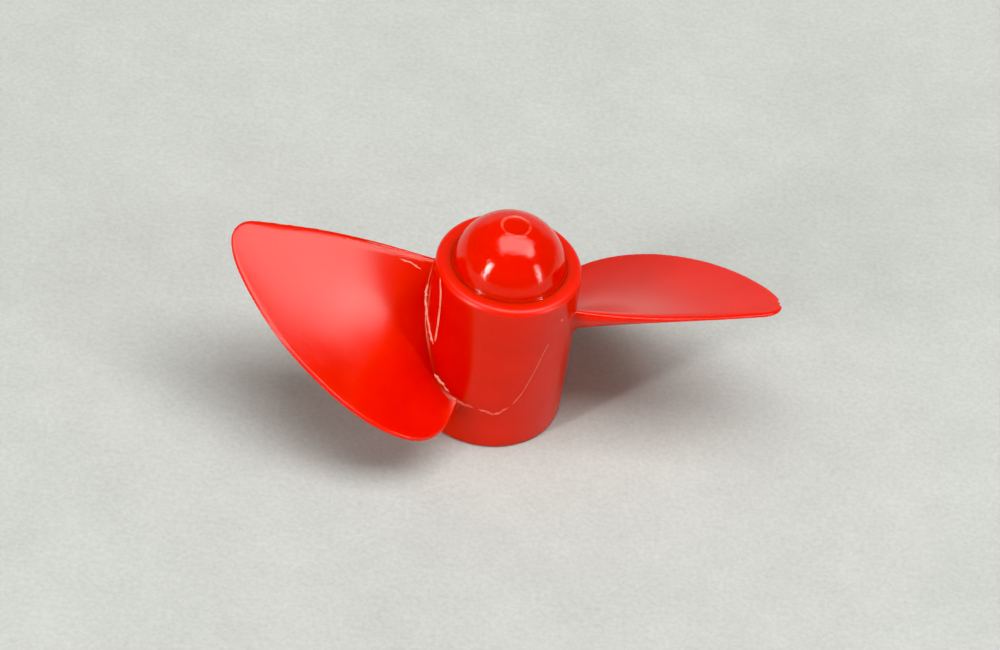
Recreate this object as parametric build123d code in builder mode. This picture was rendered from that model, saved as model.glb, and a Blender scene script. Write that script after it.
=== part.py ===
"""Two-blade left-hand propeller for a model boat, in millimetres.

The hub stands on its drive end at Z = 0 with the nose cap on top, and +Z is the shaft axis.
The tips of the two blades lie on the X axis.
"""
import os
from math import cos, hypot, pi, radians, sin

from build123d import *

os.makedirs("parts", exist_ok=True)

# Driving dimensions of the blades
tip_radius = 20.0
pitch = 36.0
rake = 0.24  # rise towards the nose for each millimetre of radius
arch = 0.18  # extra height of a blade's face half way out
tip_height = 12.65
root_thickness = 1.74
edge_thickness = 0.42  # at the trailing edge's tip
leading_thickness = 0.3
trailing_angle = -30.0  # the helical sheet runs between these two angles about Z
leading_angle = 78.0
sheet_sections = 10
sheet_inner_radius = 3.9  # ends inside the hub's wall
sheet_outer_radius = 21.0

root_fillet = 0.8

# Driving dimensions of the hub
hub_length = 13.5
base_radius = 5.52
rim_radius = 5.28
hub_seam_angle = 120.0
rim_round = 0.35
end_round = 0.15

# Driving dimensions of the threaded insert
thread_major = 4.0
thread_minor = 3.3
insert_radius = 3.5
insert_length = 8.0
knurl_teeth = 28
knurl_depth = 0.25
groove_width = 1.2
groove_depth = 0.45
lead_in = 0.35
shaft_hole_radius = 2.15

# Driving dimensions of the nose cap
cap_radius = 4.11
cap_sink = 0.4  # the middle of the half-round dome lies this far below the hub's rim
seat_radius = 4.15
seat_depth = 0.4
spigot_radius = 2.6
spigot_length = 2.4
gate_radius = 0.95
gate_depth = 0.12


def face_height(radius, angle):
    """Height of the upper, driving face of a blade; the angle is in degrees from the blade's middle."""
    half_span = (tip_radius - base_radius) / 2
    arched = arch * (tip_radius - radius) * (radius - base_radius) / half_span**2
    return tip_height - rake * (tip_radius - radius) + arched - pitch * angle / 360


def hub_radius(height):
    """Radius of the hub's wall, which curves in a little towards the rim."""
    return base_radius - (base_radius - rim_radius) * (height / hub_length) ** 2


def thickness(radius, share):
    """Blade thickness at a radius; share runs from 0 at the trailing edge to 1 at the leading edge."""
    reach = (tip_radius - radius) / (tip_radius - base_radius)
    thick = edge_thickness + (root_thickness - edge_thickness) * max(reach, 0) ** 2
    return thick + (leading_thickness - thick) * share


def radial_plane(angle):
    """The plane through the shaft axis at an angle in degrees; its own x runs outwards and its y up."""
    turn = radians(angle)
    return Plane(origin=(0, 0, 0), x_dir=(cos(turn), sin(turn), 0), z_dir=(sin(turn), -cos(turn), 0))


def is_blade_root(edge):
    """True for an edge that lies on the hub's wall and is neither an arc, a straight line nor a whole ring."""
    if edge.geom_type in (GeomType.CIRCLE, GeomType.LINE) or edge.is_closed:
        return False
    points = [edge @ 0, edge @ 0.5, edge @ 1]
    return all(abs(hypot(point.X, point.Y) - hub_radius(point.Z)) < 0.02 for point in points)


# One blade: a helical sheet, cut to the blade's outline seen along the shaft
with BuildPart() as blade_sheet:
    for section in range(sheet_sections):
        share = section / (sheet_sections - 1)
        angle = trailing_angle + share * (leading_angle - trailing_angle)
        inner_top = face_height(sheet_inner_radius, angle)
        outer_top = face_height(sheet_outer_radius, angle)
        inner_face = (sheet_inner_radius, inner_top)
        outer_face = (sheet_outer_radius, outer_top)
        inner_back = (sheet_inner_radius, inner_top - thickness(base_radius, share))
        middle_radius = (base_radius + tip_radius) / 2
        middle_top = face_height(middle_radius, angle)
        middle_face = (middle_radius, middle_top)
        middle_back = (middle_radius, middle_top - thickness(middle_radius, share))
        outer_back = (sheet_outer_radius, outer_top - thickness(tip_radius, share))
        with BuildSketch(radial_plane(angle)):
            with BuildLine():
                Line(inner_back, inner_face)
                Spline(inner_face, middle_face, outer_face)
                Line(outer_face, outer_back)
                Spline(outer_back, middle_back, inner_back)
            make_face()
    loft()

with BuildPart() as blade:
    with BuildSketch():
        with BuildLine():
            trailing = ThreePointArc((3.2, -1.75), (11.0, -2.52), (18.6, -1.86))
            tip = TangentArc(trailing @ 1, (19.98, 0.0), tangent=trailing % 1)
            Spline(
                tip @ 1,
                (18.6, 3.17),
                (15.15, 6.99),
                (12.5, 8.77),
                (9.7, 9.9),
                (5.4, 9.6),
                (3.7, 7.5),
                (2.9, 3.4),
                tangents=(tip % 1, (-0.1, -1.0)),
            )
            Line((2.9, 3.4), (3.2, -1.75))
        make_face()
    extrude(amount=hub_length + 5)
    add(blade_sheet.part, mode=Mode.INTERSECT)

# The brass insert's outside: two knurled bands and the groove between them
tooth_angle = 2 * pi / knurl_teeth
knurl_points = []
for tooth in range(knurl_teeth):
    crest = tooth * tooth_angle
    valley = crest + tooth_angle / 2
    knurl_points.append((insert_radius * cos(crest), insert_radius * sin(crest)))
    valley_radius = insert_radius - knurl_depth
    knurl_points.append((valley_radius * cos(valley), valley_radius * sin(valley)))

with BuildPart() as insert_outside:
    with BuildSketch():
        with BuildLine():
            Polyline(*knurl_points, close=True)
        make_face()
    extrude(amount=insert_length)
    with BuildSketch(Plane.XY.offset((insert_length - groove_width) / 2)):
        Circle(insert_radius + 1)
        Circle(insert_radius - groove_depth, mode=Mode.SUBTRACT)
    extrude(amount=groove_width, mode=Mode.SUBTRACT)

with BuildPart() as threaded_insert:
    add(insert_outside.part)
    Hole(thread_minor / 2)
    mouths = threaded_insert.edges().filter_by(GeomType.CIRCLE).filter_by(lambda edge: edge.radius < thread_major / 2)
    chamfer(mouths, lead_in)

# The moulding: hub and both blades in one piece; the wall's seam lies between the blades
with BuildPart() as propeller:
    with BuildSketch(radial_plane(hub_seam_angle)):
        with BuildLine():
            end_corner = (hub_radius(0), 0)
            rim_corner = (rim_radius, hub_length)
            ThreePointArc(end_corner, (hub_radius(hub_length / 2), hub_length / 2), rim_corner)
            Polyline(rim_corner, (0, hub_length), (0, 0), end_corner)
        make_face()
    revolve(axis=Axis.Z)
    rim_edge = propeller.edges().filter_by(GeomType.CIRCLE).sort_by(Axis.Z)[-1]
    end_edge = propeller.edges().filter_by(GeomType.CIRCLE).sort_by(Axis.Z)[0]
    fillet(rim_edge, rim_round)
    fillet(end_edge, end_round)
    with PolarLocations(0, 2):
        add(blade.part)
    fillet(propeller.edges().filter_by(is_blade_root), root_fillet)
    add(insert_outside.part, mode=Mode.SUBTRACT)
    with Locations((0, 0, hub_length)):
        CounterBoreHole(shaft_hole_radius, seat_radius, seat_depth)
    with BuildSketch(Plane.XY.offset(hub_length - seat_depth)):
        Circle(spigot_radius)
    extrude(amount=-spigot_length, mode=Mode.SUBTRACT)

# The nose cap: a half-round dome in the hub's seat, with a spigot pressed into the hub
with BuildPart() as nose_cap:
    with BuildSketch(Plane.XZ):
        with BuildLine():
            dome_middle = hub_length - cap_sink
            skirt_top = (cap_radius, dome_middle)
            shoulder = (cap_radius * cos(pi / 4), dome_middle + cap_radius * sin(pi / 4))
            apex = (0, dome_middle + cap_radius)
            ThreePointArc(skirt_top, shoulder, apex)
            Line(apex, (0, hub_length - seat_depth - spigot_length))
            Polyline(
                (0, hub_length - seat_depth - spigot_length),
                (spigot_radius, hub_length - seat_depth - spigot_length),
                (spigot_radius, hub_length - seat_depth),
                skirt_top,
            )
        make_face()
    revolve(axis=Axis.Z)
    with BuildSketch(Plane.XY.offset(dome_middle + cap_radius)):
        Circle(gate_radius)
    extrude(amount=-gate_depth, both=True, mode=Mode.SUBTRACT)

pieces = {"propeller": propeller, "nose_cap": nose_cap, "threaded_insert": threaded_insert}
for name, piece in pieces.items():
    piece.part.label = name
    export_step(piece.part, f"parts/{name}.step")
    print(name, round(piece.part.volume, 2), piece.part.bounding_box())
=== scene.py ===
"""Looks of a two-blade model boat propeller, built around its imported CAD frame.

The shapes are worked out in millimetres and turned into metres when a mesh is made.
The hub stands on its drive end at Z = 0 and +Z is the shaft axis, with the blade tips on the X axis.
"""

import math

import bpy
import numpy as np
from mathutils import Matrix, Vector


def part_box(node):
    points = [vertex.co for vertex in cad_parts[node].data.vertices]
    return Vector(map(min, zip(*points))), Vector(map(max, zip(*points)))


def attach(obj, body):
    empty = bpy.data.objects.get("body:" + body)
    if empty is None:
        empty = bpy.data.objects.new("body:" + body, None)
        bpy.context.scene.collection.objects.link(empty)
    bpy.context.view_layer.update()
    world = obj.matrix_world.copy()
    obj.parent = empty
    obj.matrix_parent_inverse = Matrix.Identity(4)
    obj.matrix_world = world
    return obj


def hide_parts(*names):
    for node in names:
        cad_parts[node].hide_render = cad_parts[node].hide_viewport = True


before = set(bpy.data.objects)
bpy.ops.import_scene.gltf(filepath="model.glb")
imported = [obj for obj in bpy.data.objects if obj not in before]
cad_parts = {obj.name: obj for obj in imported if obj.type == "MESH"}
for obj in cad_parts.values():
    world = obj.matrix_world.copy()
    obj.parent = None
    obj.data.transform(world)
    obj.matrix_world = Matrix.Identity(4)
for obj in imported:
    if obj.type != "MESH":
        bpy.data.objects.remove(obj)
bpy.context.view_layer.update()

MM = 0.001
hub_low, hub_high = (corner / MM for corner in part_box("propeller"))
insert_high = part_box("threaded_insert")[1] / MM

# Blades: close to the CAD model's, with other values for pitch, rake, thickness and root; angles in degrees
tip_radius = 20.0
pitch = 39.0
rake = 0.226
arch = 0.18
tip_height = 12.63
tip_gap = 0.01  # between the tips and the ends of the CAD's box
cup_rise = 0.0028  # of the face towards the leading edge at the root, in mm per square degree
cup_start = 40.0  # angle from the blade's middle where that rise begins
cup_reach = 2.0  # distance from the hub over which it fades
root_thickness = 2.18
root_swell = 2.3  # how late the blade swells to that thickness
edge_thickness = 0.42
leading_thickness = 0.3
trailing_angle = -30.0
leading_angle = 78.0
root_blend = 0.22  # of the blade's face into the hub
back_blend = 0.5  # of the back of the blade into the hub
nick_round = 0.06
trailing_fullness = 0.96  # 1 makes an edge of a blade fully round
leading_fullness = 0.75
trailing_roll = 1.2  # width over which the trailing edge rounds off
nick_places = ((20.0, 0.42, 0.3), (19.98, -0.16, 0.22))  # bites out of one tip: x, y and radius
steepest_radius = 3.0  # a blade's slope grows no further inside it
wave_depth = 0.012  # of the faint waves in the moulded faces

# Hub
hub_length = hub_high.z
base_radius = 5.52
rim_radius = 5.28
rim_round = 0.42
end_round = 0.15
mouth_round = 0.05

# Threaded insert: M4 x 0.7
thread_major = 2.0
thread_minor = 1.65
thread_pitch = 0.7
insert_radius = insert_high.x
insert_length = insert_high.z
knurl_teeth = 28
knurl_depth = 0.25
groove_width = 1.2
groove_depth = 0.45
shaft_hole_radius = 2.15
insert_recess = 0.04
insert_bevel = 0.12
mouth_gap = 0.05  # by which the radius of the bore's ends exceeds the thread's
groove_slope = 0.03  # half of the width of each step into the groove
thread_flat = 0.125  # how much the thread's crests and roots are cut flat, as a share of its depth

# Nose cap
cap_radius = 4.11
cap_sink = 0.4
cap_top = hub_length - cap_sink + cap_radius
seat_radius = 4.15
seat_depth = 0.4
spigot_radius = 2.6
spigot_length = 2.4
skirt_clearance = 0.01
foot_flare = 0.16  # how far the dome's foot spreads to close the gap in its seat
foot_height = 0.06  # over which that flare fades
gate_radius = 0.95
gate_depth = 0.7 * 0.12  # the CAD's depth, partly worn away
gate_lip = 0.07  # height of the ridge round the gate's recess
gate_lip_width = 0.06
gate_lip_offset = 0.08
gate_softness = 0.035  # width of the recess's sloping wall
gate_raggedness = 0.04
dome_pitting = 0.0008  # depth of the fine waves in the dome, in a band round the gate
pitted_below = 0.9  # of the dome's top: the middle of that band
pitted_spread = 0.55


# ---------------------------------------------------------------- small helpers

def make_object(name, points, faces, material):
    """A smooth-shaded mesh object from points in millimetres."""
    mesh = bpy.data.meshes.new(name)
    mesh.from_pydata((np.asarray(points) * MM).tolist(), [], faces)
    mesh.polygons.foreach_set("use_smooth", [True] * len(mesh.polygons))
    mesh.materials.append(material)
    mesh.validate()
    piece = bpy.data.objects.new(name, mesh)
    bpy.context.scene.collection.objects.link(piece)
    return piece


def ring_faces(rings, segments, closed):
    """Quads between rings of points; closed joins the last ring to the first."""
    faces = []
    for ring in range(rings if closed else rings - 1):
        here = ring * segments
        there = (ring + 1) % rings * segments
        for k in range(segments):
            after = (k + 1) % segments
            faces.append((here + k, here + after, there + after, there + k))
    return faces


def waves(seed, count, lengths):
    """A smooth, random, seeded function of two numbers with values of about -1 to 1."""
    source = np.random.default_rng(seed)
    turns = source.uniform(0, 2 * math.pi, count)
    sizes = 2 * math.pi / source.uniform(*lengths, count)
    phases = source.uniform(0, 2 * math.pi, count)

    def value(u, v):
        parts = [np.sin(size * (u * math.cos(turn) + v * math.sin(turn)) + phase)
                 for turn, size, phase in zip(turns, sizes, phases)]
        return sum(parts) / math.sqrt(count)

    return value


# ---------------------------------------------------------------- outline of a blade seen along the shaft

def arc(centre, start, end, count):
    """Points on the circle about centre, from start to end the short way round."""
    first, last = (np.arctan2(*(point - centre)[::-1]) for point in (start, end))
    sweep = (last - first + math.pi) % (2 * math.pi) - math.pi
    turn = first + sweep * np.linspace(0, 1, count)
    radius = np.linalg.norm(start - centre)
    return centre + radius * np.stack([np.cos(turn), np.sin(turn)], axis=1)


def smooth_curve(knots, start_tangent, end_tangent, count):
    """A cubic spline through the knots with the given unit tangents at its ends."""
    gaps = np.linalg.norm(np.diff(knots, axis=0), axis=1)
    size = len(knots)
    system = np.eye(size)
    right = np.zeros((size, 2))
    right[0], right[-1] = start_tangent, end_tangent
    for k in range(1, size - 1):
        before, after = gaps[k - 1], gaps[k]
        system[k, k - 1:k + 2] = after, 2 * (before + after), before
        behind, ahead = knots[k] - knots[k - 1], knots[k + 1] - knots[k]
        right[k] = 3 * (after * behind / before + before * ahead / after)
    slopes = np.linalg.solve(system, right)
    points = []
    for k, gap in enumerate(gaps):
        t = np.linspace(0, 1, count, endpoint=False)[:, None]
        points.append(
            (1 + 2 * t) * (1 - t) ** 2 * knots[k]
            + t * (1 - t) ** 2 * gap * slopes[k]
            + t ** 2 * (3 - 2 * t) * knots[k + 1]
            + t ** 2 * (t - 1) * gap * slopes[k + 1]
        )
    return np.concatenate([*points, knots[-1:]])


def blade_outline():
    """The closed outline of the blade on the +X side."""
    root, middle, outer = np.array([(3.2, -1.75), (11.0, -2.52), (18.6, -1.86)])
    centre = np.linalg.solve(2 * np.array([middle - root, outer - root]),
                             [middle @ middle - root @ root, outer @ outer - root @ root])
    trailing = arc(centre, root, outer, count=80)
    spoke = outer - centre
    tangent = np.array([-spoke[1], spoke[0]]) / np.linalg.norm(spoke)
    tip_end = np.array([hub_high.x - tip_gap, 0.0])
    tip_centre = np.linalg.solve(np.array([tangent, 2 * (tip_end - outer)]),
                                 [tangent @ outer, tip_end @ tip_end - outer @ outer])
    tip = arc(tip_centre, outer, tip_end, count=24)
    spoke = tip_end - tip_centre
    tangent = np.array([-spoke[1], spoke[0]]) / np.linalg.norm(spoke)
    knots = np.array([tip_end, (18.6, 3.17), (15.15, 6.99), (12.5, 8.77), (9.7, 9.9), (5.4, 9.6),
                      (3.45, 7.7), (2.2, 3.6)])
    leading = smooth_curve(knots, tangent, np.array([-0.1, -1.0]), count=40)
    return np.concatenate([trailing[:-1], tip[:-1], leading])


def outline_distance(outline, spacing=0.06, margin=1.2):
    """A function that gives the signed distance to the outline, negative inside, from a fine grid in plan."""
    low = outline.min(0) - margin
    sizes = np.ceil((outline.max(0) + margin - low) / spacing).astype(int) + 1
    x = low[0] + spacing * np.arange(sizes[0])[:, None]
    y = low[1] + spacing * np.arange(sizes[1])[None, :]
    nearest = np.full(sizes, 1e9)
    inside = np.zeros(sizes, bool)
    for (ax, ay), (bx, by) in zip(outline, np.roll(outline, -1, axis=0)):
        dx, dy = bx - ax, by - ay
        along = np.clip(((x - ax) * dx + (y - ay) * dy) / (dx * dx + dy * dy), 0, 1)
        nearest = np.minimum(nearest, (x - ax - along * dx) ** 2 + (y - ay - along * dy) ** 2)
        if ay != by:
            crosses = ((ay > y) != (by > y)) & (x < ax + (y - ay) * dx / dy)
            inside ^= crosses
    table = np.where(inside, -1, 1) * np.sqrt(nearest)

    last = sizes - 1.001  # a place past the table is read from its last cell

    def distance(px, py):
        across = np.clip((px - low[0]) / spacing, 0, last[0])
        up = np.clip((py - low[1]) / spacing, 0, last[1])
        i, j = across.astype(int), up.astype(int)
        u, v = across - i, up - j
        near = table[i, j] * (1 - v) + table[i, j + 1] * v
        far = table[i + 1, j] * (1 - v) + table[i + 1, j + 1] * v
        return near * (1 - u) + far * u

    return distance


# ---------------------------------------------------------------- signed distances of the moulding

plan_distance = outline_distance(blade_outline())
face_waves = waves(seed=3, count=9, lengths=(3.5, 9.0))


def hub_radius(height):
    """Radius of the hub's wall, which curves in a little towards the rim."""
    return base_radius - (base_radius - rim_radius) * (height / hub_length) ** 2


def face_height(radius, angle):
    """Height of the upper face of a blade; the angle is in degrees from the blade's middle."""
    half_span = (tip_radius - base_radius) / 2
    arched = arch * (tip_radius - radius) * (radius - base_radius) / half_span ** 2
    cup = cup_rise * np.maximum(angle - cup_start, 0) ** 2 * np.exp((base_radius - radius) / cup_reach)
    return tip_height - rake * (tip_radius - radius) + arched + cup - pitch * angle / 360


def round_join(a, b, size):
    """Union of two solids with a fillet of about that size."""
    return np.maximum(size, np.minimum(a, b)) - np.hypot(np.maximum(size - a, 0), np.maximum(size - b, 0))


def round_cut(a, b, size):
    """Intersection of two solids with its edge rounded to about that size."""
    return np.minimum(-size, np.maximum(a, b)) + np.hypot(np.maximum(size + a, 0), np.maximum(size + b, 0))


def rounded(a, b, radius):
    """Distance to the slab a < 0, ended at b < 0, with an edge of that radius."""
    return np.hypot(np.maximum(a + radius, 0), np.maximum(b + radius, 0)) + np.minimum(
        np.maximum(a, b) + radius, 0) - radius


def blade_distance(x, y, z):
    """Signed distance to the blade on the +X side, and how far a place is behind it, from 0 to 1."""
    radius = np.hypot(x, y)
    angle = np.degrees(np.arctan2(y, x))
    slope = pitch / (2 * math.pi * np.maximum(radius, steepest_radius))
    steepness = np.sqrt(1 + slope ** 2 + rake ** 2)
    share = np.clip((angle - trailing_angle) / (leading_angle - trailing_angle), 0, 1)
    reach = np.maximum((tip_radius - radius) / (tip_radius - base_radius), 0)
    thick = edge_thickness + (root_thickness - edge_thickness) * reach ** root_swell
    thick = thick + (leading_thickness - thick) * share
    top = face_height(radius, angle) + wave_depth * face_waves(x, y)
    half = thick / steepness / 2
    across = np.abs(z - top + thick / 2) / steepness - half
    beyond = plan_distance(x, y) * np.sqrt(1 + slope ** 2)
    # The roll is whole near the trailing edge, gone half way to the leading one, and fades near the tip
    rolled = np.clip(1.6 - 3.2 * share, 0, 1) * np.clip(4 * reach, 0, 1)
    roll = 1 + np.maximum(trailing_roll / half - 1, 0) * rolled
    under = np.clip((top - thick / 2 - z) / thick + 0.5, 0, 1)
    # The rounding changes from the trailing edge's to the leading edge's over half of the blade
    change = np.clip(2 * share - 0.2, 0, 1)
    fullness = trailing_fullness + (leading_fullness - trailing_fullness) * change
    return rounded(across, beyond / roll, fullness * half), under


def hub_distance(radius, z):
    """Signed distance to the solid hub."""
    edge = np.where(z > hub_length / 2, rim_round, end_round)
    return rounded(radius - hub_radius(z), np.abs(z - hub_length / 2) - hub_length / 2, edge)


def knurl_radius(angle):
    """Radius of the knurl's straight-sided teeth; the angle is in radians."""
    phase = angle * knurl_teeth / (2 * math.pi) % 1
    return insert_radius - knurl_depth * (1 - np.abs(2 * phase - 1))


def bore_distance(radius, angle, z):
    """Signed distance to everything that is hollow in the hub."""
    groove = np.abs(z - insert_length / 2) < groove_width / 2
    wall = np.where(groove, insert_radius - groove_depth, knurl_radius(angle))
    pocket = np.maximum(radius - wall, z - insert_length)
    seat_floor = hub_length - seat_depth
    seat = np.maximum(radius - seat_radius, seat_floor - z)
    spigot_hole = np.maximum(radius - spigot_radius, seat_floor - spigot_length - z)
    return np.minimum(np.minimum(pocket, seat), np.minimum(spigot_hole, radius - shaft_hole_radius))


def moulding_distance(x, y, z):
    """Signed distance to the whole red moulding."""
    radius = np.hypot(x, y)
    right_blade, right_under = blade_distance(x, y, z)
    for nick_x, nick_y, nick_radius in nick_places:
        bite = nick_radius - np.hypot(x - nick_x, y - nick_y)
        right_blade = round_cut(right_blade, bite, nick_round)
    left_blade, left_under = blade_distance(-x, -y, z)
    under = np.where(right_blade < left_blade, right_under, left_under)
    blend = root_blend + (back_blend - root_blend) * under
    body = round_join(hub_distance(radius, z), np.minimum(right_blade, left_blade), blend)
    return round_cut(body, -bore_distance(radius, np.arctan2(y, x), z), mouth_round)


# ---------------------------------------------------------------- from distances to a mesh

def surface_net(distance, low, high, step):
    """Quads of the surface where the distance is zero, with one point in each grid cell that it crosses."""
    axes = [np.arange(a, b + s, s) for a, b, s in zip(low, high, step)]
    values = distance(axes[0][:, None, None], axes[1][None, :, None], axes[2][None, None, :])
    inside = values < 0
    cells = np.array(values.shape) - 1
    total = int(cells.prod())
    weight = np.zeros(total)
    sums = np.zeros((total, 3))
    quads = []
    for axis in range(3):
        front = [slice(None)] * 3
        back = [slice(None)] * 3
        front[axis], back[axis] = slice(1, None), slice(None, -1)
        where = np.argwhere(inside[tuple(back)] != inside[tuple(front)])
        u, v = (axis + 1) % 3, (axis + 2) % 3
        inner = (where[:, u] > 0) & (where[:, v] > 0) & (where[:, u] < cells[u]) & (where[:, v] < cells[v])
        where = where[inner]
        ahead = where.copy()
        ahead[:, axis] += 1
        a, b = values[tuple(where.T)], values[tuple(ahead.T)]
        crossing = np.stack([axes[k][where[:, k]] for k in range(3)], axis=1)
        crossing[:, axis] += step[axis] * a / (a - b)
        corners = []
        for du, dv in ((-1, -1), (0, -1), (0, 0), (-1, 0)):
            cell = where.copy()
            cell[:, u] += du
            cell[:, v] += dv
            number = np.ravel_multi_index(cell.T, cells)
            corners.append(number)
            weight += np.bincount(number, minlength=total)
            for k in range(3):
                sums[:, k] += np.bincount(number, crossing[:, k], total)
        quad = np.stack(corners, axis=1)
        quads.append(np.where((a < 0)[:, None], quad, quad[:, ::-1]))
    used = np.flatnonzero(weight)
    points = sums[used] / weight[used, None]
    number_of = np.zeros(total, int)
    number_of[used] = np.arange(len(used))
    return points, number_of[np.concatenate(quads)]


def gradient(distance, points, reach=0.01):
    """Direction in which the distance grows, by central differences."""
    found = np.empty_like(points)
    for k in range(3):
        shift = np.zeros(3)
        shift[k] = reach
        found[:, k] = (distance(*(points + shift).T) - distance(*(points - shift).T)) / (2 * reach)
    return found


def settle(distance, points, quads, rounds):
    """Moves the points onto the surface and spreads them evenly along it, except in the last two rounds."""
    flattest = 0.25  # least squared slope of the distance that a step trusts
    ease = 0.5  # share of the way that a point moves towards the mean of its neighbours
    pairs = np.concatenate([quads[:, [k, (k + 1) % 4]] for k in range(4)])
    degree = np.bincount(pairs[:, 0], minlength=len(points))[:, None]
    for turn in range(rounds):
        slope = gradient(distance, points)
        steep = np.maximum((slope ** 2).sum(1, keepdims=True), flattest)
        points = points - slope * distance(*points.T)[:, None] / steep
        if turn < rounds - 2:
            neighbours = points[pairs[:, 1]]
            total = np.stack([np.bincount(pairs[:, 0], neighbours[:, k], len(points)) for k in range(3)], 1)
            drift = total / degree - points
            normal = slope / np.sqrt(steep)
            points = points + ease * (drift - normal * (drift * normal).sum(1, keepdims=True))
    return points


def build_moulding(material):
    """The hub and both blades, in one closed mesh."""
    step = ((0.165, 0.165, 0.125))
    margin = np.array([0.45, 0.43, 0.3])  # sets where the grid's planes lie, so that no edge joins four faces
    low = np.round(hub_low, 2) - margin
    high = np.round(hub_high, 2) + margin
    points, quads = surface_net(moulding_distance, low, high, step)
    points = settle(moulding_distance, points, quads, rounds=6)
    piece = make_object("propeller_moulding", points, quads.tolist(), material)
    normals = gradient(moulding_distance, points)
    normals /= np.linalg.norm(normals, axis=1, keepdims=True)
    piece.data.normals_split_custom_set_from_vertices(normals.tolist())
    return piece


# ---------------------------------------------------------------- nose cap

def build_nose_cap(material):
    """The domed cap, with its skirt in the hub's seat, its spigot, and the moulding gate on top."""
    segments = 256
    turn = 2 * math.pi * np.arange(segments) / segments
    seat_floor = hub_length - seat_depth
    bottom = seat_floor - spigot_length
    skirt = seat_radius - skirt_clearance
    skirt_top, dome_start = hub_length - 0.02, hub_length - 0.01
    spigot_bevel, skirt_bevel = 0.25, 0.1
    spacing = 0.2
    foot = [(0.0, bottom), (spigot_radius - spigot_bevel, bottom), (spigot_radius, bottom + spigot_bevel),
            (spigot_radius, seat_floor), (skirt - skirt_bevel, seat_floor), (skirt, seat_floor + skirt_bevel),
            (skirt, skirt_top)]
    profile = []
    for (r0, z0), (r1, z1) in zip(foot, foot[1:]):
        parts = max(2, int(math.hypot(r1 - r0, z1 - z0) / spacing))
        profile += [(r0 + (r1 - r0) * k / parts, z0 + (z1 - z0) * k / parts) for k in range(parts)]
    middle = hub_length - cap_sink
    first = math.asin((dome_start - middle) / cap_radius)
    for swing in np.linspace(first, math.pi / 2, 120):
        height = middle + cap_radius * math.sin(swing)
        flare = foot_flare * math.exp(-max(height - hub_length, 0) / foot_height)
        profile.append((cap_radius * math.cos(swing) + flare, height))
    profile = np.array(profile[1:-1])

    radii = np.repeat(profile[:, 0], segments).reshape(-1, segments)
    heights = np.repeat(profile[:, 1], segments).reshape(-1, segments)
    dome = heights > hub_length
    ragged = waves(seed=11, count=6, lengths=(0.5, 2.5))
    x, y = radii * np.cos(turn), radii * np.sin(turn)
    edge = gate_radius * (1 + gate_raggedness * ragged(x, y))
    recess = 1 / (1 + np.exp((radii - edge) / gate_softness))
    lip = np.exp(-((radii - edge - gate_lip_offset) / gate_lip_width) ** 2) * (0.8 + 0.5 * ragged(y, x))
    heights = heights + np.where(dome, gate_lip * lip - gate_depth * recess, 0)
    pitting = waves(seed=5, count=24, lengths=(0.25, 0.7))
    zone = np.exp(-((heights - cap_top + pitted_below) / pitted_spread) ** 2)
    heights = heights + np.where(dome, dome_pitting * zone * pitting(x, y), 0)

    points = np.stack([x, y, heights], axis=2).reshape(-1, 3)
    rings = len(profile)
    faces = ring_faces(rings, segments, closed=False)
    points = np.concatenate([points, [(0, 0, bottom), (0, 0, heights[-1].mean())]])
    last = (rings - 1) * segments
    for k in range(segments):
        after = (k + 1) % segments
        faces.append((after, k, rings * segments))
        faces.append((last + k, last + after, rings * segments + 1))
    return make_object("nose_dome", points, faces, material)


# ---------------------------------------------------------------- threaded insert

def build_insert(material):
    """The knurled insert with its thread: one loop of rings, up the outside and back down the bore."""
    segments = knurl_teeth * 8
    turn = 2 * math.pi * np.arange(segments) / segments
    low, high = insert_recess, insert_length
    rings_per_turn = 12  # of the thread
    inset = 0.1  # of the groove's evenly spaced rings from its ends
    knurl = knurl_radius(turn)
    groove_low = (insert_length - groove_width) / 2
    groove_high = groove_low + groove_width
    neck = np.full(segments, insert_radius - groove_depth)
    rings = []

    def ring(radius, height):
        height = np.full(segments, height)
        rings.append(np.stack([radius * np.cos(turn), radius * np.sin(turn), height], axis=1))

    def wall(radius, start, end, parts):
        for height in np.linspace(start, end, parts):
            ring(radius, height)

    mouth = np.full(segments, thread_major + mouth_gap)
    for share in np.linspace(0, 1, 5):
        ring(mouth + (knurl - insert_bevel - mouth) * share, low)
    wall(knurl, low + insert_bevel, groove_low - groove_slope, 14)
    ring(neck, groove_low + groove_slope)
    wall(neck, groove_low + inset, groove_high - inset, 5)
    ring(neck, groove_high - groove_slope)
    wall(knurl, groove_high + groove_slope, high - insert_bevel, 14)
    for share in np.linspace(1, 0, 5):
        ring(mouth + (knurl - insert_bevel - mouth) * share, high)
    depth = thread_major - thread_minor
    for height in np.linspace(high, low, int((high - low) / thread_pitch * rings_per_turn))[1:-1]:
        phase = (height / thread_pitch - turn / (2 * math.pi)) % 1
        flank = np.clip((1 + 2 * thread_flat) * (1 - np.abs(2 * phase - 1)) - thread_flat, 0, 1)
        thread = thread_minor + depth * flank
        lead_in = thread_major + mouth_gap - min(height - low, high - height)
        ring(np.maximum(thread, lead_in), height)
    points = np.concatenate(rings)
    faces = ring_faces(len(rings), segments, closed=True)
    return make_object("brass_insert", points, faces, material)


# ---------------------------------------------------------------- flash left by the mould

# A ridge's section: across it in widths, and up in heights, or down in widths where it is sunk
ridge_section = ((0.5, -0.4), (0.5, 0.15), (0.28, 0.75), (0.0, 1.0),
                 (-0.28, 0.75), (-0.5, 0.15), (-0.5, -0.4))
taper_steps = 5  # over which a ridge rises from its ends
wander_share = 0.35  # how far a torn ridge strays from its path, in widths
first_seed = 40  # of the random edges of the ridges


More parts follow.
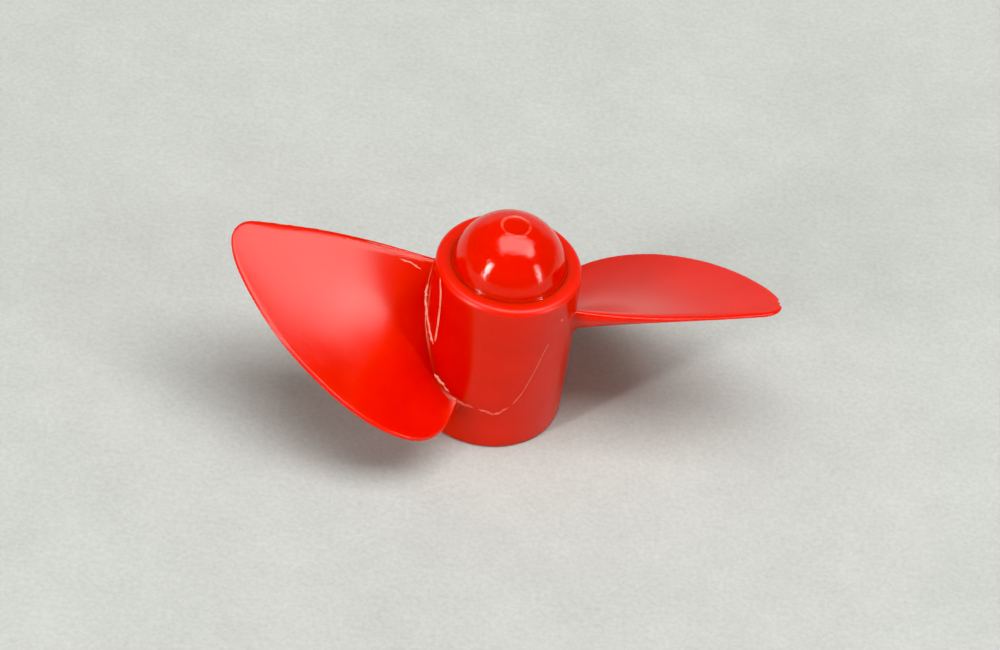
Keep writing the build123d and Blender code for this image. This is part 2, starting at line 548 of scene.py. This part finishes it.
def on_moulding(knots, spacing=0.06):
    """A smooth path through the knots, laid onto the moulding's surface, and the surface's normals there."""
    gaps = np.linalg.norm(np.diff(knots, axis=0), axis=1)
    marks = np.concatenate([[0], np.cumsum(gaps)])
    along = np.linspace(0, marks[-1], max(8, int(marks[-1] / spacing)))
    path = np.stack([np.interp(along, marks, knots[:, k]) for k in range(3)], axis=1)
    for _ in range(12):
        path[1:-1] = (path[:-2] + 2 * path[1:-1] + path[2:]) / 4
    for _ in range(6):
        slope = gradient(moulding_distance, path)
        slope /= np.linalg.norm(slope, axis=1, keepdims=True)
        path = path - slope * moulding_distance(*path.T)[:, None]
    return path, slope


def wall_knots(places, outside=0.0):
    """Points outside the hub's wall from angles in degrees and heights."""
    angle, height = np.array(places).T
    angle = np.radians(angle)
    radius = hub_radius(height) + outside
    return np.stack([radius * np.cos(angle), radius * np.sin(angle), height], axis=1)


def face_knots(places):
    """Points on a blade's face from their places seen along the shaft."""
    x, y = np.array(places).T
    return np.stack([x, y, face_height(np.hypot(x, y), np.degrees(np.arctan2(y, x)))], axis=1)


def flash_strip(name, knots, width, height, ragged, seed, material):
    """A thin ridge laid along the moulding, tapered at both ends and sunk a little into the surface.

    ragged runs from 0, a smooth bead, to 1, a torn edge.
    """
    path, normals = on_moulding(knots)
    source = np.random.default_rng(seed)
    count = len(path)
    along = np.gradient(path, axis=0)
    along /= np.linalg.norm(along, axis=1, keepdims=True)
    side = np.cross(normals, along)
    side /= np.linalg.norm(side, axis=1, keepdims=True)
    ends = np.minimum(np.arange(count), np.arange(count)[::-1])
    taper = np.clip(ends / taper_steps, 0.06, 1)
    # A torn ridge has small teeth, gaps where it almost ends, and strays to each side; a smooth one has none
    teeth = np.convolve(source.uniform(0, 1, count + 2), (0.2, 0.6, 0.2), "valid")
    breaks = np.clip(4 * np.convolve(source.uniform(-0.3, 1, count + 6), np.ones(7) / 7, "valid"), 0.1, 1)
    wander = np.convolve(source.normal(0, 1, count + 4), np.ones(5) / 5, "valid")
    tall = height * taper * (1 - ragged + ragged * breaks * (0.3 + 1.3 * teeth))
    wide = width * taper * (1 - ragged + ragged * (0.4 + 1.2 * teeth))
    middle = path + side * (ragged * width * wander_share * wander * taper)[:, None]
    lean = side * (ragged * tall * source.normal(0.2, 0.5, count))[:, None]
    points = []
    for across, up in ridge_section:
        rise = up * width * taper if up < 0 else up * tall
        points.append(middle + side * (across * wide)[:, None] + normals * rise[:, None] + lean * max(up, 0))
    points = np.stack(points, axis=1).reshape(-1, 3)
    sides = len(ridge_section)
    faces = ring_faces(count, sides, closed=False)
    faces.append(tuple(range(sides))[::-1])
    faces.append(tuple((count - 1) * sides + k for k in range(sides)))
    return make_object(name, points, faces, material)


def build_flash(pale, red_flash):
    """The mould's parting line and torn flash round one blade's root, and again half a turn round.

    Only the second blade has flash along its trailing edge.
    Angles are about the shaft from the blade's own axis, and heights are above the drive end.
    """
    # The pale material paints a highlight on the flash and bead round the root and on the inner edge flash;
    # the red one paints a fainter highlight.
    seams = [  # name, path, width, height, how torn it is from 0 to 1, and material
        ("root_flash", wall_knots(
            [(-5, 10.0), (1, 9.4), (4.5, 9.0), (11.7, 8.5), (19, 8.2), (27, 7.65), (32.3, 7.2)],
            outside=0.15),
         0.2, 0.09, 1.0, pale),
        ("root_bead", wall_knots(
            [(22.5, 13.1), (24, 12.8), (28, 12.1), (30.8, 10.9), (32.6, 9.15), (33, 7.6)]),
         0.22, 0.05, 0.0, pale),
        ("lower_flash", wall_knots(
            [(41, 5.1), (46, 4.75), (51.5, 4.5), (57, 4.25)],
            outside=0.15),
         0.22, 0.08, 1.0, pale),
        ("parting_line_left", wall_knots(
            [(61, 3.95), (68, 3.75), (77.5, 3.75)]),
         0.2, 0.05, 0.9, red_flash),
        ("parting_line_front", wall_knots(
            [(81, 3.73), (88.5, 3.6), (93, 3.4), (97, 3.6), (104, 4.2)]),
         0.16, 0.06, 0.9, red_flash),
        ("parting_line_right", wall_knots(
            [(106, 4.4), (112, 5.3), (118.5, 6.9), (126, 9.1), (130, 10.0)]),
         0.08, 0.03, 0.5, red_flash),
        ("parting_burr", wall_knots(
            [(138.5, 11.6), (142.5, 11.65)]),
         0.3, 0.14, 0.3, red_flash),
        ("edge_flash_outer", face_knots(
            [(11.9, -2.05), (10.4, -1.95), (8.9, -1.86), (7.0, -1.7), (5.9, -1.55)]),
         0.08, 0.03, 1.0, red_flash),
        ("edge_flash_middle", face_knots(
            [(10.3, -2.2), (8.8, -2.12), (7.2, -1.98), (6.0, -1.85)]),
         0.08, 0.03, 1.0, red_flash),
        ("edge_flash_inner", face_knots(
            [(7.8, -1.5), (6.9, -1.38), (6.1, -1.15)]),
         0.12, 0.04, 1.0, pale),
    ]
    pieces = []
    for turn, half in ((1, "a"), (-1, "b")):
        for number, (name, knots, width, height, ragged, material) in enumerate(seams):
            if name.startswith("edge_flash") and turn > 0:
                continue
            knots = knots * (turn, turn, 1)
            seed = first_seed + number * 2 + (turn < 0)
            pieces.append(flash_strip(name + "_" + half, knots, width, height, ragged, seed, material))
    return pieces


# ---------------------------------------------------------------- materials

def node_material(name):
    """An empty node material, its principled shader and its node tree."""
    material = bpy.data.materials.new(name)
    material.use_nodes = True
    return material, material.node_tree.nodes["Principled BSDF"], material.node_tree


def add_node(tree, kind, inputs=None, **settings):
    """A new node with its settings and the values or links of its inputs."""
    node = tree.nodes.new(kind)
    for key, value in settings.items():
        setattr(node, key, value)
    for key, value in (inputs or {}).items():
        if isinstance(value, bpy.types.NodeSocket):
            tree.links.new(value, node.inputs[key])
        else:
            node.inputs[key].default_value = value
    return node


def ramp(tree, factor, stops):
    """A colour ramp over the factor; the stops are (position, colour or grey)."""
    node = add_node(tree, "ShaderNodeValToRGB", {"Fac": factor})
    while len(node.color_ramp.elements) < len(stops):
        node.color_ramp.elements.new(0.5)
    for element, (position, colour) in zip(node.color_ramp.elements, stops):
        element.position = position
        element.color = (*colour, 1) if isinstance(colour, tuple) else (colour, colour, colour, 1)
    return node.outputs["Color"]


def mix_colours(tree, amount, first, second, blend="MIX"):
    """Both colours mixed; inputs 6 and 7 and output 2 of a mix node are its colour sockets."""
    inputs = {"Factor": amount, 6: first, 7: second}
    return add_node(tree, "ShaderNodeMix", inputs, data_type="RGBA", blend_type=blend).outputs[2]


def object_noise(tree, scale, detail=3.0, roughness=0.5, stretch=(1, 1, 1)):
    """Noise over the object's own coordinates; the scale is in features per metre."""
    place = add_node(tree, "ShaderNodeTexCoord").outputs["Object"]
    mapped = add_node(tree, "ShaderNodeMapping", {"Vector": place, "Scale": stretch}).outputs["Vector"]
    node = add_node(tree, "ShaderNodeTexNoise",
                    {"Vector": mapped, "Scale": scale, "Detail": detail, "Roughness": roughness})
    return node.outputs["Fac"]


def gate_highlight_ring(tree, colour):
    """The colour, paler in a ring round the gate's edge on the dome: a painted highlight, broken into patches
    by noise.
    """
    place = add_node(tree, "ShaderNodeTexCoord").outputs["Object"]
    flat = add_node(tree, "ShaderNodeMapping", {"Vector": place, "Scale": (1, 1, 0)}).outputs["Vector"]
    radius = add_node(tree, "ShaderNodeVectorMath", {"Vector": flat}, operation="LENGTH").outputs["Value"]
    highlight_inside, highlight_outside = 0.08, 0.2  # how far the ring reaches to each side of the gate's edge
    start, end = (gate_radius - highlight_inside) * MM, (gate_radius + highlight_outside) * MM
    share = add_node(tree, "ShaderNodeMapRange", {"Value": radius, "From Min": start, "From Max": end})
    ring = ramp(tree, share.outputs["Result"], [(0.0, 0.0), (0.35, 0.6), (0.65, 0.6), (1.0, 0.0)])
    # noise that breaks the painted highlight into patches
    worn = ramp(tree, object_noise(tree, 1400, 3.0), [(0.38, 0.15), (0.6, 1.0)])
    amount = add_node(tree, "ShaderNodeMath", {0: ring, 1: worn}, operation="MULTIPLY").outputs["Value"]
    # the pale colour of the painted highlight
    return mix_colours(tree, amount, colour, (0.66, 0.10, 0.06, 1))


def red_plastic(name, glossy, dull, peel_strength, pit_depth, rim_dullness, gate=False):
    """Glossy red moulded plastic: faint colour streaks, uneven gloss, orange peel and tiny pits.

    rim_dullness is the roughness that the top of the hub is worn to, and
    gate adds a painted highlight: a pale ring round the shaft axis, at the edge of the cut-off moulding gate.
    """
    material, shader, tree = node_material(name)
    streaks = object_noise(tree, 260, 4.0, 0.55, stretch=(0.6, 0.6, 1.6))
    colour = ramp(tree, streaks, [(0.3, (0.515, 0.0022, 0.0001)), (0.7, (0.575, 0.0046, 0.0003))])
    # a painted highlight: a pale ring round the gate
    if gate:
        colour = gate_highlight_ring(tree, colour)
    tree.links.new(colour, shader.inputs["Base Color"])
    haze = object_noise(tree, 420, 5.0, 0.6)
    gloss = ramp(tree, haze, [(0.25, glossy), (0.75, dull)])
    place = add_node(tree, "ShaderNodeTexCoord").outputs["Object"]
    height = add_node(tree, "ShaderNodeSeparateXYZ", {"Vector": place}).outputs["Z"]
    wear_starts, wear_full = 0.6, 0.35  # below the hub's top
    start, end = (hub_length - wear_starts) * MM, (hub_length - wear_full) * MM
    worn = add_node(tree, "ShaderNodeMapRange",
                    {"Value": height, "From Min": start, "From Max": end, "To Max": rim_dullness})
    gloss = add_node(tree, "ShaderNodeMath", {0: gloss, 1: worn.outputs["Result"]}, operation="MAXIMUM")
    tree.links.new(gloss.outputs["Value"], shader.inputs["Roughness"])
    peel = object_noise(tree, 1500, 2.0)
    fine = object_noise(tree, 2600, 3.0, 0.6)
    soft = add_node(tree, "ShaderNodeBump", {"Strength": peel_strength, "Distance": 0.00006, "Height": peel})
    grain = add_node(tree, "ShaderNodeBump", {"Strength": 1.0, "Distance": pit_depth, "Height": fine,
                                              "Normal": soft.outputs["Normal"]})
    tree.links.new(grain.outputs["Normal"], shader.inputs["Normal"])
    shader.inputs["IOR"].default_value = 1.40
    shader.inputs["Specular Tint"].default_value = (1.0, 0.96, 0.90, 1)
    shader.inputs["Subsurface Weight"].default_value = 0.8
    shader.inputs["Subsurface Radius"].default_value = (1.0, 0.12, 0.06)
    shader.inputs["Subsurface Scale"].default_value = 0.0020
    return material


def torn_plastic(name, thick, thin):
    """The same plastic where it is torn, and rougher: mottled by noise between the two colours, the paler of
    which is a painted highlight.
    """
    material, shader, tree = node_material(name)
    mottle = object_noise(tree, 2500, 3.0)
    # mottled from the first colour to the paler second one, a painted highlight
    colour = ramp(tree, mottle, [(0.3, thick), (0.7, thin)])
    tree.links.new(colour, shader.inputs["Base Color"])
    shader.inputs["Roughness"].default_value = 0.35
    return material


def turned_brass():
    """Turned brass: fine rings from the tool and a little tarnish."""
    material, shader, tree = node_material("turned_brass")
    tarnish = object_noise(tree, 700, 4.0, 0.6)
    colour = ramp(tree, tarnish, [(0.3, (0.66, 0.43, 0.16)), (0.7, (0.83, 0.62, 0.30))])
    tree.links.new(colour, shader.inputs["Base Color"])
    gloss = ramp(tree, tarnish, [(0.2, 0.22), (0.8, 0.38)])
    tree.links.new(gloss, shader.inputs["Roughness"])
    place = add_node(tree, "ShaderNodeTexCoord").outputs["Object"]
    rings = add_node(tree, "ShaderNodeTexWave", {"Vector": place, "Scale": 1800.0, "Distortion": 1.0},
                     wave_type="RINGS", rings_direction="Z")
    bump = add_node(tree, "ShaderNodeBump",
                    {"Strength": 0.2, "Distance": 0.00001, "Height": rings.outputs["Fac"]})
    tree.links.new(bump.outputs["Normal"], shader.inputs["Normal"])
    shader.inputs["Metallic"].default_value = 1.0
    return material


def pale_table():
    """A pale grey table top, mottled and finely grained."""
    material, shader, tree = node_material("pale_table")
    cloud = object_noise(tree, 90, 10.0, 0.82)
    colour = ramp(tree, cloud, [(0.25, (0.365, 0.375, 0.352)), (0.75, (0.445, 0.455, 0.430))])
    speckle = ramp(tree, object_noise(tree, 2600, 3.0, 0.7), [(0.3, 0.85), (0.7, 1.0)])
    tree.links.new(mix_colours(tree, 1.0, colour, speckle, "MULTIPLY"), shader.inputs["Base Color"])
    grain = object_noise(tree, 900, 4.0, 0.6)
    bump = add_node(tree, "ShaderNodeBump", {"Strength": 0.25, "Distance": 0.0001, "Height": grain})
    tree.links.new(bump.outputs["Normal"], shader.inputs["Normal"])
    shader.inputs["Roughness"].default_value = 0.85
    return material


# ---------------------------------------------------------------- studio

camera_azimuth, camera_elevation, camera_roll = -5.48, 43.92, 10.40  # degrees
camera_distance = 312.0
aim_height = 8.3  # of the place on the shaft axis that the camera's aim is counted from
aim_down, aim_left = 0.828, 0.011  # from that place, in the picture's directions
strip_distance = 0.6  # of the upright lights, in metres, like all sizes and places of the lights


def direction(azimuth, elevation):
    """Unit vector; azimuth 0 is towards -Y and 90 towards +X, in degrees."""
    a, e = math.radians(azimuth), math.radians(elevation)
    return Vector((math.sin(a) * math.cos(e), -math.cos(a) * math.cos(e), math.sin(e)))


def add_camera():
    """The camera, with a long lens, a little roll and no shift."""
    back = direction(camera_azimuth, camera_elevation)
    roll = math.radians(camera_roll)
    flat = (-back).cross(Vector((0, 0, 1))).normalized()
    upright = flat.cross(-back)
    right = math.cos(roll) * flat + math.sin(roll) * upright
    up = -math.sin(roll) * flat + math.cos(roll) * upright
    target = Vector((0, 0, aim_height)) - aim_down * up - aim_left * right
    data = bpy.data.cameras.new("camera")
    data.sensor_width = 36.0
    data.lens = 154.69
    data.clip_start, data.clip_end = 0.01, 10.0
    camera = bpy.data.objects.new("camera", data)
    turned = Matrix((right, up, back)).transposed().to_4x4()
    camera.matrix_world = Matrix.Translation((target + camera_distance * back) * MM) @ turned
    bpy.context.scene.collection.objects.link(camera)
    bpy.context.scene.camera = camera


def add_panel(name, place, size, radiance, look_at=None):
    """A rectangular light that faces straight down or looks at a point; radiance is that of its surface."""
    data = bpy.data.lights.new(name, "AREA")
    data.shape = "RECTANGLE"
    data.size, data.size_y = size
    data.energy = radiance * math.pi * size[0] * size[1]
    light = bpy.data.objects.new(name, data)
    light.location = place
    if look_at is not None:
        light.rotation_mode = "QUATERNION"
        light.rotation_quaternion = (look_at - place).to_track_quat("-Z", "Y")
    bpy.context.scene.collection.objects.link(light)


def add_strip(name, azimuth, height, size, radiance):
    """A narrow upright light at the front of the studio, level with the height of its middle."""
    middle = Vector((0, 0, height))
    add_panel(name, middle + strip_distance * direction(azimuth, 0), size, radiance, middle)


def add_lights():
    """Two softboxes overhead, two narrow upright strips, a dim card behind, a weak fill and a dim room."""
    add_panel("softbox", Vector((0.09, -0.02, 0.60)), size=(0.74, 0.36), radiance=6.2)
    add_panel("softbox_side", Vector((0.47, -0.09, 0.61)), size=(0.26, 0.22), radiance=4.2)
    add_strip("left_strip", azimuth=-49, height=0.22, size=(0.05, 0.40), radiance=52.0)
    add_strip("right_strip", azimuth=63, height=0.17, size=(0.026, 0.34), radiance=50.0)
    add_panel("back_card", Vector((0.1, 1.0, 0.22)), size=(1.6, 0.44), radiance=0.35,
              look_at=Vector((0, 0, 0.22)))
    add_panel("front_fill", Vector((-0.2, -0.8, 0.25)), size=(0.8, 0.5), radiance=0.5,
              look_at=Vector((0, 0, 0)))
    bpy.data.objects["front_fill"].visible_glossy = False
    world = bpy.data.worlds.new("room")
    world.use_nodes = True
    background = world.node_tree.nodes["Background"]
    background.inputs["Color"].default_value = (1.0, 0.99, 0.97, 1)
    background.inputs["Strength"].default_value = 0.2
    bpy.context.scene.world = world


def add_floor():
    """The table top, just below the propeller so that their surfaces don't coincide."""
    half, level = 1500.0, -0.02
    corners = [(-half, -half, level), (half, -half, level), (half, half, level), (-half, half, level)]
    floor = make_object("table_top", corners, [(0, 1, 2, 3)], pale_table())


def set_view():
    """Plain colours, with slightly deeper green and blue blacks, as a camera shows saturated red."""
    view = bpy.context.scene.view_settings
    view.view_transform = "Standard"
    view.use_curve_mapping = True
    view.curve_mapping.black_level = (0.0, 0.003, 0.010)
    view.curve_mapping.update()


# ---------------------------------------------------------------- assembly

add_camera()
add_lights()
add_floor()

red = red_plastic("red_moulding_plastic", glossy=0.18, dull=0.26, peel_strength=0.12,
                  pit_depth=0.000004, rim_dullness=0.37)
glossy_red = red_plastic("red_cap_plastic", glossy=0.08, dull=0.12, peel_strength=0.03,
                         pit_depth=0.000022, rim_dullness=0.05, gate=True)
# the paler colours of both flash materials are painted highlights
highlit_flash = torn_plastic("torn_flash_plastic_painted_highlight", thick=(0.66, 0.10, 0.07), thin=(0.82, 0.34, 0.28))
red_flash = torn_plastic("parting_line_plastic_painted_highlight", thick=(0.60, 0.025, 0.012), thin=(0.68, 0.09, 0.055))

moulding = build_moulding(red)
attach(moulding, "root")
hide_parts("propeller")

dome = build_nose_cap(glossy_red)
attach(dome, "root")
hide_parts("nose_cap")

insert = build_insert(turned_brass())
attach(insert, "root")
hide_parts("threaded_insert")

for strip in build_flash(highlit_flash, red_flash):
    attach(strip, "root")

set_view()
